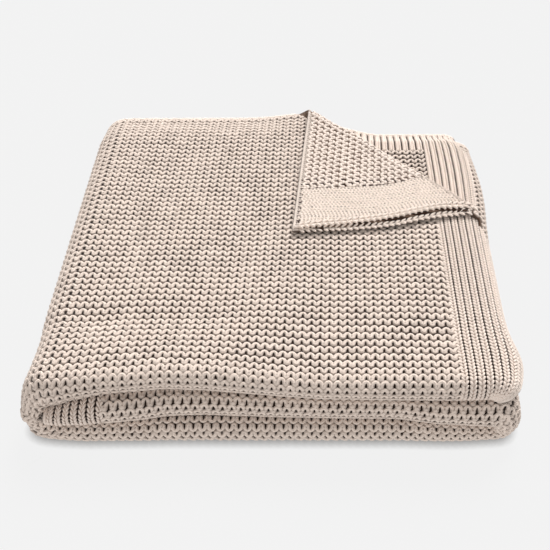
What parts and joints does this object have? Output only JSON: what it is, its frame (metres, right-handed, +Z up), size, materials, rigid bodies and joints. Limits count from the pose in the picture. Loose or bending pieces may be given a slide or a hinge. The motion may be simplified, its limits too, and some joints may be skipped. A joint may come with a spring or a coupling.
{
  "type": "folded throw blanket",
  "caption": "Chunky knitted throw, folded in thirds and quarters into a thick square stack, with ribbed borders and one top corner turned back.",
  "frame": {"origin": "centre of the underside, on the surface that the stack lies on", "axes": "+Z up through the plies, +X across the thirds from the left fold to the right fold, -Y towards the rolled front edge"},
  "size_m": [0.45, 0.41, 0.0945],
  "materials": {
    "garter_knit": "chunky garter-stitch cotton knit, matt",
    "rib_knit": "fine ribbed cotton knit, matt",
    "edge_knit": "chained knitted edge, matt"
  },
  "bodies": {
    "stack": {"bottom_panel_outer_field": "garter_knit", "bottom_panel_inner_field": "garter_knit", "bottom_panel_back_fold": "garter_knit", "bottom_panel_plain_end": "edge_knit", "bottom_panel_ribbed_end": "rib_knit", "inner_panel_outer_field": "garter_knit", "inner_panel_inner_field": "garter_knit", "inner_panel_outer_side_border": "rib_knit", "inner_panel_inner_side_border": "rib_knit", "inner_panel_back_fold": "garter_knit", "inner_panel_plain_end": "edge_knit", "inner_panel_ribbed_end": "rib_knit", "left_fold": "garter_knit", "right_fold": "garter_knit"},
    "top_panel": {"top_panel_outer_field": "garter_knit", "top_panel_inner_field": "garter_knit", "top_panel_outer_side_border": "rib_knit", "top_panel_inner_side_border": "rib_knit", "top_panel_back_fold": "garter_knit", "top_panel_plain_end": "edge_knit", "top_panel_ribbed_end": "rib_knit", "turned_corner_crease": "garter_knit"},
    "turned_corner": {"turned_corner_field": "garter_knit", "turned_corner_side_border": "rib_knit", "turned_corner_plain_end": "edge_knit"}
  },
  "joints": [
    {"name": "top_panel_opens", "type": "hinge", "parent": "stack", "child": "top_panel", "pos_m": [-0.225, 0, 0.04362], "axis": [0, -1, 0], "range_deg": [0, 175], "deforming": ["left_fold"]},
    {"name": "corner_opens", "type": "hinge", "parent": "top_panel", "child": "turned_corner", "pos_m": [0.1165, 0.1025, 0.08743], "axis": [-0.7071, 0.7071, 0], "range_deg": [0, 175], "deforming": ["turned_corner_crease"]}
  ]
}
